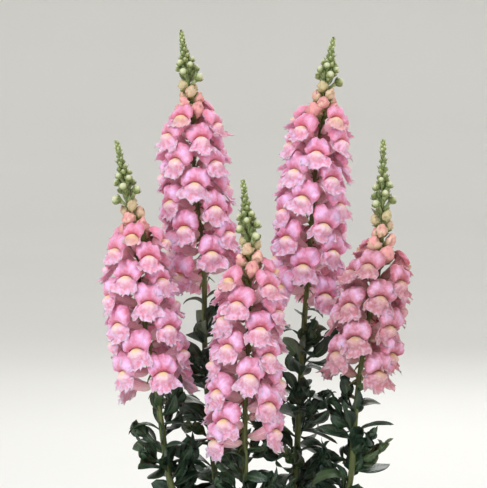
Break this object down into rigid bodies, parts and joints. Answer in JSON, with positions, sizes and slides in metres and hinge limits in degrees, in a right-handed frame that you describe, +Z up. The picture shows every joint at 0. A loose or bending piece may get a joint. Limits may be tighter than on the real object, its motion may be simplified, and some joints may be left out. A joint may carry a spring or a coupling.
{
  "type": "snapdragon plant",
  "caption": "Potted snapdragon: leafy upright stems, each with a dense spike of two-lipped pink flowers below a tapering tip of green buds, in a round clay pot of soil.",
  "frame": {"origin": "centre of the pot's underside", "axes": "+Z up, -Y the front, where the shortest stem stands, +X to the right of someone who looks at the front"},
  "size_m": [0.3103, 0.2, 0.6731],
  "materials": {
    "clay": "matte",
    "soil": "matte",
    "green": "satin",
    "petals": "matte"
  },
  "bodies": {
    "root": {"pot": "clay", "soil": "soil", "stem_left": "green", "flowers_left": "petals", "stem_back_left": "green", "flowers_back_left": "petals", "stem_front": "green", "flowers_front": "petals", "stem_back_right": "green", "flowers_back_right": "petals", "stem_right": "green", "flowers_right": "petals"}
  },
  "joints": []
}
